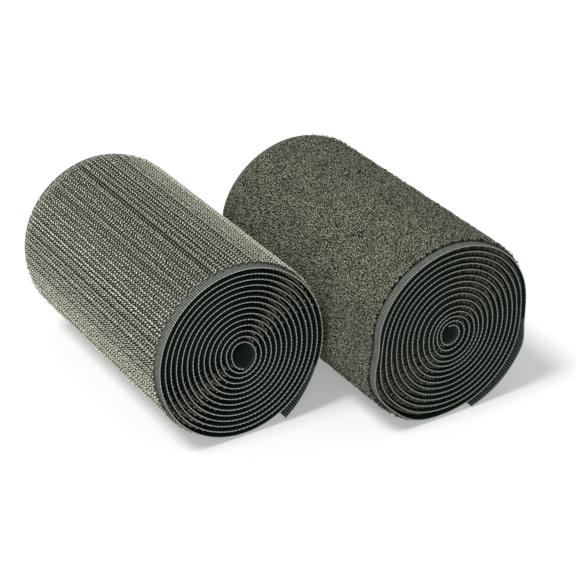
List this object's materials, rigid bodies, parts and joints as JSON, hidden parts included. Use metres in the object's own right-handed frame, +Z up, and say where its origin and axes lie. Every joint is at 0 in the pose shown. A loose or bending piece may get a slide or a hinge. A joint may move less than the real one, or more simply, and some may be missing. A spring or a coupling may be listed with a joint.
{
  "type": "hook and loop tape roll",
  "caption": "Matching pair of coreless rolls of wide woven fastening tape, hook tape beside loop tape, wound face outwards, with free ends that peel back.",
  "frame": {"origin": "middle of the pair's box, on the surface that the two rolls lie on", "axes": "+X from the hook roll to the loop roll, -Y towards the front ends of the rolls, +Z up"},
  "size_m": [0.1252, 0.126, 0.0634],
  "materials": {
    "hook_ground": "woven nylon ground, ribbed across, blue-grey border",
    "hooks": "rows of stiff nylon hooks, khaki with light tips",
    "loop_ground": "woven nylon ground, ribbed across, blue-grey border",
    "loop_pile": "brushed loop pile, mottled olive"
  },
  "bodies": {
    "hook_roll": {"hook_tape": "hook_ground", "hook_field": "hooks"},
    "hook_free_end": {"hook_tape_end": "hook_ground", "hook_field_end": "hooks"},
    "loop_roll": {"loop_tape": "loop_ground", "loop_pile": "loop_pile"},
    "loop_free_end": {"loop_tape_end": "loop_ground", "loop_pile_end": "loop_pile"}
  },
  "joints": [
    {"name": "hook_end_peel", "type": "hinge", "parent": "hook_roll", "child": "hook_free_end", "pos_m": [-0.0022, 0.013, 0.0172], "axis": [0, -1, 0], "range_deg": [0, 70], "stiffness_Nm_per_rad": 0.006},
    {"name": "loop_roll_away", "type": "slide", "parent": "hook_roll", "child": "loop_roll", "axis": [1, 0, 0], "range_m": [0, 0.1]},
    {"name": "loop_end_peel", "type": "hinge", "parent": "loop_roll", "child": "loop_free_end", "pos_m": [0.0624, -0.013, 0.0271], "axis": [0, -1, 0], "range_deg": [0, 110], "stiffness_Nm_per_rad": 0.004}
  ]
}
